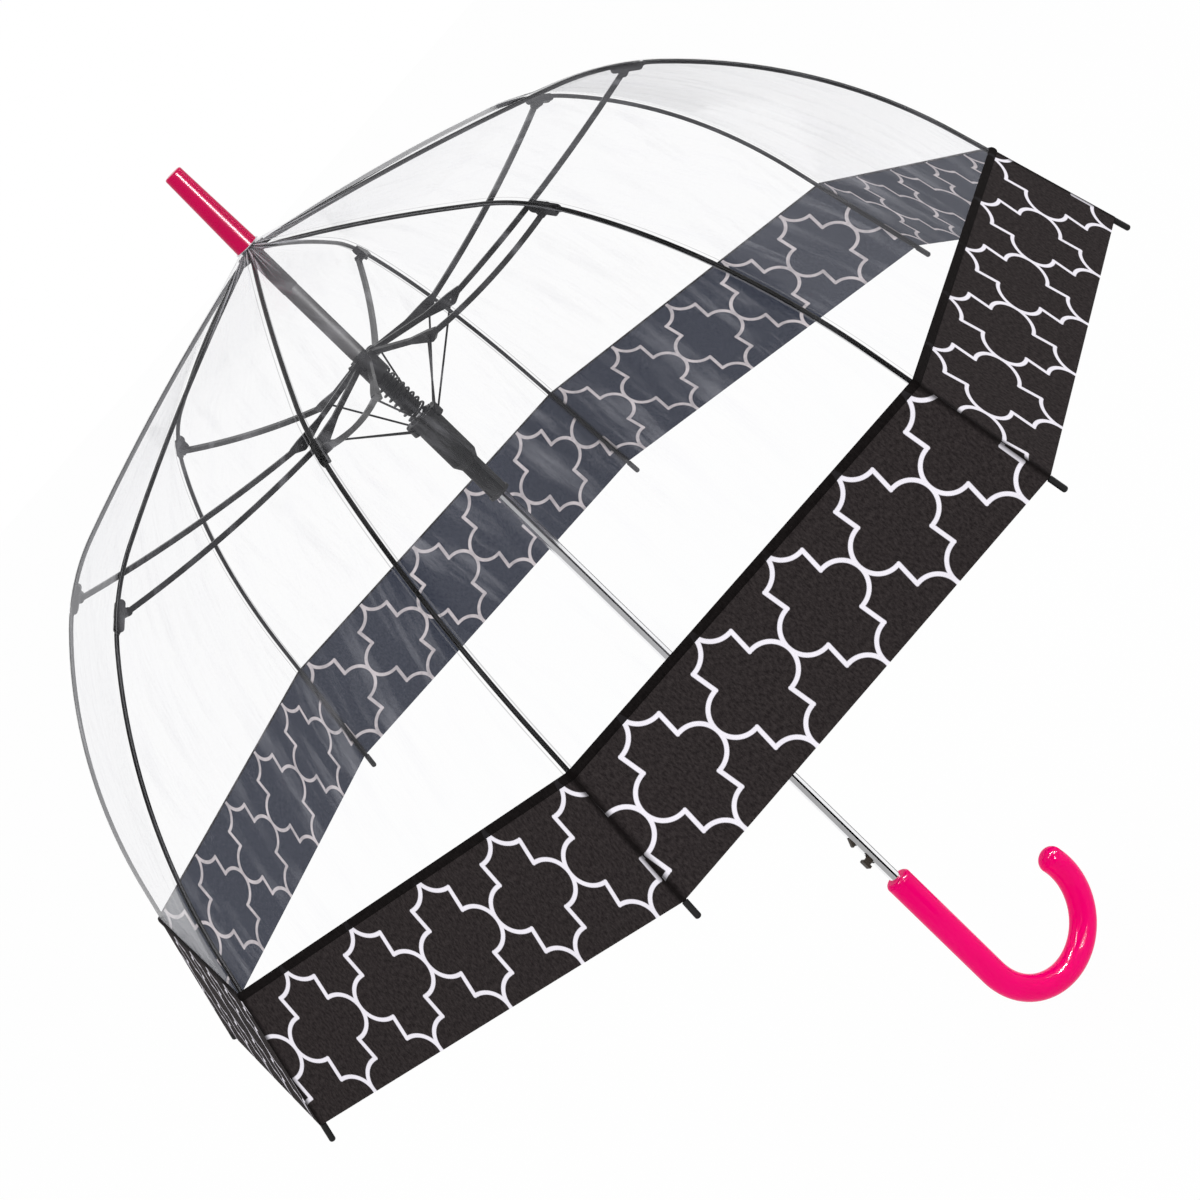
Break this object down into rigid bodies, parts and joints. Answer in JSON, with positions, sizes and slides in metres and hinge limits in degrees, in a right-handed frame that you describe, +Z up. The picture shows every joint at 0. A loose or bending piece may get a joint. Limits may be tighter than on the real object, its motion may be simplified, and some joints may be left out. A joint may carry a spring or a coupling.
{
  "type": "clear bubble umbrella",
  "caption": "Deep clear dome umbrella with a patterned border, sprung two-runner folding frame and a hook grip.",
  "frame": {"origin": "on the shaft's axis at the top of the grip, where a hand holds it", "axes": "+Z up the shaft to the ferrule, +X from the grip towards the hook's free end"},
  "size_m": [0.8936, 0.8936, 0.9201],
  "materials": {
    "chrome": "polished chrome plate",
    "steel_wire": "drawn wire",
    "pink_plastic": "high gloss",
    "magenta_plastic": "gloss",
    "clear_film": "clear vinyl film",
    "printed_cloth": "black with a pale lattice print",
    "black_steel": "black paint",
    "black_plastic": "moulded, satin"
  },
  "bodies": {
    "frame": {"shaft": "chrome", "grip": "pink_plastic", "lever_pin": "steel_wire", "crown": "black_plastic", "crown_ring": "steel_wire", "top_washer": "clear_film", "ferrule": "magenta_plastic", "stop_tube": "black_plastic", "canopy_clear": "clear_film", "canopy_border": "printed_cloth"},
    "release": {"release_lever": "black_plastic"},
    "upper_runner": {"upper_runner": "black_plastic", "upper_pins": "steel_wire"},
    "lower_runner": {"lower_runner": "black_plastic", "lower_ring": "steel_wire", "main_spring": "black_steel"},
    "rib_upper_1": {"rib_upper_1": "black_steel"},
    "rib_lower_1": {"rib_lower_1": "black_steel", "rib_tip_1": "black_plastic"},
    "stretcher_1": {"stretcher_1": "black_steel"},
    "brace_1": {"brace_1": "black_steel"},
    "rib_upper_2": {"rib_upper_2": "black_steel"},
    "rib_lower_2": {"rib_lower_2": "black_steel", "rib_tip_2": "black_plastic"},
    "stretcher_2": {"stretcher_2": "black_steel"},
    "brace_2": {"brace_2": "black_steel"},
    "rib_upper_3": {"rib_upper_3": "black_steel"},
    "rib_lower_3": {"rib_lower_3": "black_steel", "rib_tip_3": "black_plastic"},
    "stretcher_3": {"stretcher_3": "black_steel"},
    "brace_3": {"brace_3": "black_steel"},
    "rib_upper_4": {"rib_upper_4": "black_steel"},
    "rib_lower_4": {"rib_lower_4": "black_steel", "rib_tip_4": "black_plastic"},
    "stretcher_4": {"stretcher_4": "black_steel"},
    "brace_4": {"brace_4": "black_steel"},
    "rib_upper_5": {"rib_upper_5": "black_steel"},
    "rib_lower_5": {"rib_lower_5": "black_steel", "rib_tip_5": "black_plastic"},
    "stretcher_5": {"stretcher_5": "black_steel"},
    "brace_5": {"brace_5": "black_steel"},
    "rib_upper_6": {"rib_upper_6": "black_steel"},
    "rib_lower_6": {"rib_lower_6": "black_steel", "rib_tip_6": "black_plastic"},
    "stretcher_6": {"stretcher_6": "black_steel"},
    "brace_6": {"brace_6": "black_steel"},
    "rib_upper_7": {"rib_upper_7": "black_steel"},
    "rib_lower_7": {"rib_lower_7": "black_steel", "rib_tip_7": "black_plastic"},
    "stretcher_7": {"stretcher_7": "black_steel"},
    "brace_7": {"brace_7": "black_steel"},
    "rib_upper_8": {"rib_upper_8": "black_steel"},
    "rib_lower_8": {"rib_lower_8": "black_steel", "rib_tip_8": "black_plastic"},
    "stretcher_8": {"stretcher_8": "black_steel"},
    "brace_8": {"brace_8": "black_steel"}
  },
  "joints": [
    {"name": "runner_slide", "type": "slide", "parent": "frame", "child": "lower_runner", "axis": [0, 0, -1], "range_m": [0, 0.38426], "stiffness_N_per_m": 30, "springref_m": -0.15, "deforming": ["main_spring", "canopy_clear", "canopy_border"]},
    {"name": "upper_slide", "type": "slide", "parent": "frame", "child": "upper_runner", "axis": [0, 0, -1], "range_m": [0, 0.43312]},
    {"name": "release_press", "type": "hinge", "parent": "frame", "child": "release", "pos_m": [0, 0, -0.009], "axis": [0, 1, 0], "range_deg": [0, 3.2], "stiffness_Nm_per_rad": 0.15, "springref_deg": -5.73},
    {"name": "rib_1_fold", "type": "hinge", "parent": "frame", "child": "rib_upper_1", "pos_m": [0.00687, -0.00518, 0.6697], "axis": [0.6018, 0.7986, 0], "range_deg": [0, 69.81]},
    {"name": "rib_1_flex", "type": "hinge", "parent": "rib_upper_1", "child": "rib_lower_1", "pos_m": [0.22517, -0.16968, 0.57639], "axis": [-0.6018, -0.7986, 0], "range_deg": [0, 43.47]},
    {"name": "stretcher_1_fold", "type": "hinge", "parent": "upper_runner", "child": "stretcher_1", "pos_m": [0.00934, -0.0009, 0.5616], "axis": [-0.6018, -0.7986, 0], "range_deg": [0, 84.53]},
    {"name": "brace_1_fold", "type": "hinge", "parent": "lower_runner", "child": "brace_1", "pos_m": [0.01127, -0.00599, 0.4999], "axis": [-0.6018, -0.7986, 0], "range_deg": [0, 41]},
    {"name": "rib_2_fold", "type": "hinge", "parent": "frame", "child": "rib_upper_2", "pos_m": [0.00852, 0.0012, 0.6697], "axis": [-0.1392, 0.9903, 0], "range_deg": [0, 69.81]},
    {"name": "rib_2_flex", "type": "hinge", "parent": "rib_upper_2", "child": "rib_lower_2", "pos_m": [0.2792, 0.03924, 0.57639], "axis": [0.1392, -0.9903, 0], "range_deg": [0, 43.47]},
    {"name": "stretcher_2_fold", "type": "hinge", "parent": "upper_runner", "child": "stretcher_2", "pos_m": [0.00724, 0.00597, 0.5616], "axis": [0.1392, -0.9903, 0], "range_deg": [0, 84.53]},
    {"name": "brace_2_fold", "type": "hinge", "parent": "lower_runner", "child": "brace_2", "pos_m": [0.0122, 0.00373, 0.4999], "axis": [0.1392, -0.9903, 0], "range_deg": [0, 41]},
    {"name": "rib_3_fold", "type": "hinge", "parent": "frame", "child": "rib_upper_3", "pos_m": [0.00518, 0.00687, 0.6697], "axis": [-0.7986, 0.6018, 0], "range_deg": [0, 69.81]},
    {"name": "rib_3_flex", "type": "hinge", "parent": "rib_upper_3", "child": "rib_lower_3", "pos_m": [0.16968, 0.22517, 0.57639], "axis": [0.7986, -0.6018, 0], "range_deg": [0, 43.47]},
    {"name": "stretcher_3_fold", "type": "hinge", "parent": "upper_runner", "child": "stretcher_3", "pos_m": [0.0009, 0.00934, 0.5616], "axis": [0.7986, -0.6018, 0], "range_deg": [0, 84.53]},
    {"name": "brace_3_fold", "type": "hinge", "parent": "lower_runner", "child": "brace_3", "pos_m": [0.00599, 0.01127, 0.4999], "axis": [0.7986, -0.6018, 0], "range_deg": [0, 41]},
    {"name": "rib_4_fold", "type": "hinge", "parent": "frame", "child": "rib_upper_4", "pos_m": [-0.0012, 0.00852, 0.6697], "axis": [-0.9903, -0.1392, 0], "range_deg": [0, 69.81]},
    {"name": "rib_4_flex", "type": "hinge", "parent": "rib_upper_4", "child": "rib_lower_4", "pos_m": [-0.03924, 0.2792, 0.57639], "axis": [0.9903, 0.1392, 0], "range_deg": [0, 43.47]},
    {"name": "stretcher_4_fold", "type": "hinge", "parent": "upper_runner", "child": "stretcher_4", "pos_m": [-0.00597, 0.00724, 0.5616], "axis": [0.9903, 0.1392, 0], "range_deg": [0, 84.53]},
    {"name": "brace_4_fold", "type": "hinge", "parent": "lower_runner", "child": "brace_4", "pos_m": [-0.00373, 0.0122, 0.4999], "axis": [0.9903, 0.1392, 0], "range_deg": [0, 41]},
    {"name": "rib_5_fold", "type": "hinge", "parent": "frame", "child": "rib_upper_5", "pos_m": [-0.00687, 0.00518, 0.6697], "axis": [-0.6018, -0.7986, 0], "range_deg": [0, 69.81]},
    {"name": "rib_5_flex", "type": "hinge", "parent": "rib_upper_5", "child": "rib_lower_5", "pos_m": [-0.22517, 0.16968, 0.57639], "axis": [0.6018, 0.7986, 0], "range_deg": [0, 43.47]},
    {"name": "stretcher_5_fold", "type": "hinge", "parent": "upper_runner", "child": "stretcher_5", "pos_m": [-0.00934, 0.0009, 0.5616], "axis": [0.6018, 0.7986, 0], "range_deg": [0, 84.53]},
    {"name": "brace_5_fold", "type": "hinge", "parent": "lower_runner", "child": "brace_5", "pos_m": [-0.01127, 0.00599, 0.4999], "axis": [0.6018, 0.7986, 0], "range_deg": [0, 41]},
    {"name": "rib_6_fold", "type": "hinge", "parent": "frame", "child": "rib_upper_6", "pos_m": [-0.00852, -0.0012, 0.6697], "axis": [0.1392, -0.9903, 0], "range_deg": [0, 69.81]},
    {"name": "rib_6_flex", "type": "hinge", "parent": "rib_upper_6", "child": "rib_lower_6", "pos_m": [-0.2792, -0.03924, 0.57639], "axis": [-0.1392, 0.9903, 0], "range_deg": [0, 43.47]},
    {"name": "stretcher_6_fold", "type": "hinge", "parent": "upper_runner", "child": "stretcher_6", "pos_m": [-0.00724, -0.00597, 0.5616], "axis": [-0.1392, 0.9903, 0], "range_deg": [0, 84.53]},
    {"name": "brace_6_fold", "type": "hinge", "parent": "lower_runner", "child": "brace_6", "pos_m": [-0.0122, -0.00373, 0.4999], "axis": [-0.1392, 0.9903, 0], "range_deg": [0, 41]},
    {"name": "rib_7_fold", "type": "hinge", "parent": "frame", "child": "rib_upper_7", "pos_m": [-0.00518, -0.00687, 0.6697], "axis": [0.7986, -0.6018, 0], "range_deg": [0, 69.81]},
    {"name": "rib_7_flex", "type": "hinge", "parent": "rib_upper_7", "child": "rib_lower_7", "pos_m": [-0.16968, -0.22517, 0.57639], "axis": [-0.7986, 0.6018, 0], "range_deg": [0, 43.47]},
    {"name": "stretcher_7_fold", "type": "hinge", "parent": "upper_runner", "child": "stretcher_7", "pos_m": [-0.0009, -0.00934, 0.5616], "axis": [-0.7986, 0.6018, 0], "range_deg": [0, 84.53]},
    {"name": "brace_7_fold", "type": "hinge", "parent": "lower_runner", "child": "brace_7", "pos_m": [-0.00599, -0.01127, 0.4999], "axis": [-0.7986, 0.6018, 0], "range_deg": [0, 41]},
    {"name": "rib_8_fold", "type": "hinge", "parent": "frame", "child": "rib_upper_8", "pos_m": [0.0012, -0.00852, 0.6697], "axis": [0.9903, 0.1392, 0], "range_deg": [0, 69.81]},
    {"name": "rib_8_flex", "type": "hinge", "parent": "rib_upper_8", "child": "rib_lower_8", "pos_m": [0.03924, -0.2792, 0.57639], "axis": [-0.9903, -0.1392, 0], "range_deg": [0, 43.47]},
    {"name": "stretcher_8_fold", "type": "hinge", "parent": "upper_runner", "child": "stretcher_8", "pos_m": [0.00597, -0.00724, 0.5616], "axis": [-0.9903, -0.1392, 0], "range_deg": [0, 84.53]},
    {"name": "brace_8_fold", "type": "hinge", "parent": "lower_runner", "child": "brace_8", "pos_m": [0.00373, -0.0122, 0.4999], "axis": [-0.9903, -0.1392, 0], "range_deg": [0, 41]}
  ],
  "couplings": [
    {"joint": "upper_slide", "follows": "runner_slide", "ratio": 1.1266},
    {"joint": "rib_1_fold", "follows": "runner_slide", "rad_per_m": 3.1696},
    {"joint": "rib_1_flex", "follows": "runner_slide", "rad_per_m": 1.9737},
    {"joint": "stretcher_1_fold", "follows": "runner_slide", "rad_per_m": 3.8384},
    {"joint": "brace_1_fold", "follows": "runner_slide", "rad_per_m": 1.8612},
    {"joint": "rib_2_fold", "follows": "runner_slide", "rad_per_m": 3.1696},
    {"joint": "rib_2_flex", "follows": "runner_slide", "rad_per_m": 1.9737},
    {"joint": "stretcher_2_fold", "follows": "runner_slide", "rad_per_m": 3.8384},
    {"joint": "brace_2_fold", "follows": "runner_slide", "rad_per_m": 1.8612},
    {"joint": "rib_3_fold", "follows": "runner_slide", "rad_per_m": 3.1696},
    {"joint": "rib_3_flex", "follows": "runner_slide", "rad_per_m": 1.9737},
    {"joint": "stretcher_3_fold", "follows": "runner_slide", "rad_per_m": 3.8384},
    {"joint": "brace_3_fold", "follows": "runner_slide", "rad_per_m": 1.8612},
    {"joint": "rib_4_fold", "follows": "runner_slide", "rad_per_m": 3.1696},
    {"joint": "rib_4_flex", "follows": "runner_slide", "rad_per_m": 1.9737},
    {"joint": "stretcher_4_fold", "follows": "runner_slide", "rad_per_m": 3.8384},
    {"joint": "brace_4_fold", "follows": "runner_slide", "rad_per_m": 1.8612},
    {"joint": "rib_5_fold", "follows": "runner_slide", "rad_per_m": 3.1696},
    {"joint": "rib_5_flex", "follows": "runner_slide", "rad_per_m": 1.9737},
    {"joint": "stretcher_5_fold", "follows": "runner_slide", "rad_per_m": 3.8384},
    {"joint": "brace_5_fold", "follows": "runner_slide", "rad_per_m": 1.8612},
    {"joint": "rib_6_fold", "follows": "runner_slide", "rad_per_m": 3.1696},
    {"joint": "rib_6_flex", "follows": "runner_slide", "rad_per_m": 1.9737},
    {"joint": "stretcher_6_fold", "follows": "runner_slide", "rad_per_m": 3.8384},
    {"joint": "brace_6_fold", "follows": "runner_slide", "rad_per_m": 1.8612},
    {"joint": "rib_7_fold", "follows": "runner_slide", "rad_per_m": 3.1696},
    {"joint": "rib_7_flex", "follows": "runner_slide", "rad_per_m": 1.9737},
    {"joint": "stretcher_7_fold", "follows": "runner_slide", "rad_per_m": 3.8384},
    {"joint": "brace_7_fold", "follows": "runner_slide", "rad_per_m": 1.8612},
    {"joint": "rib_8_fold", "follows": "runner_slide", "rad_per_m": 3.1696},
    {"joint": "rib_8_flex", "follows": "runner_slide", "rad_per_m": 1.9737},
    {"joint": "stretcher_8_fold", "follows": "runner_slide", "rad_per_m": 3.8384},
    {"joint": "brace_8_fold", "follows": "runner_slide", "rad_per_m": 1.8612}
  ]
}
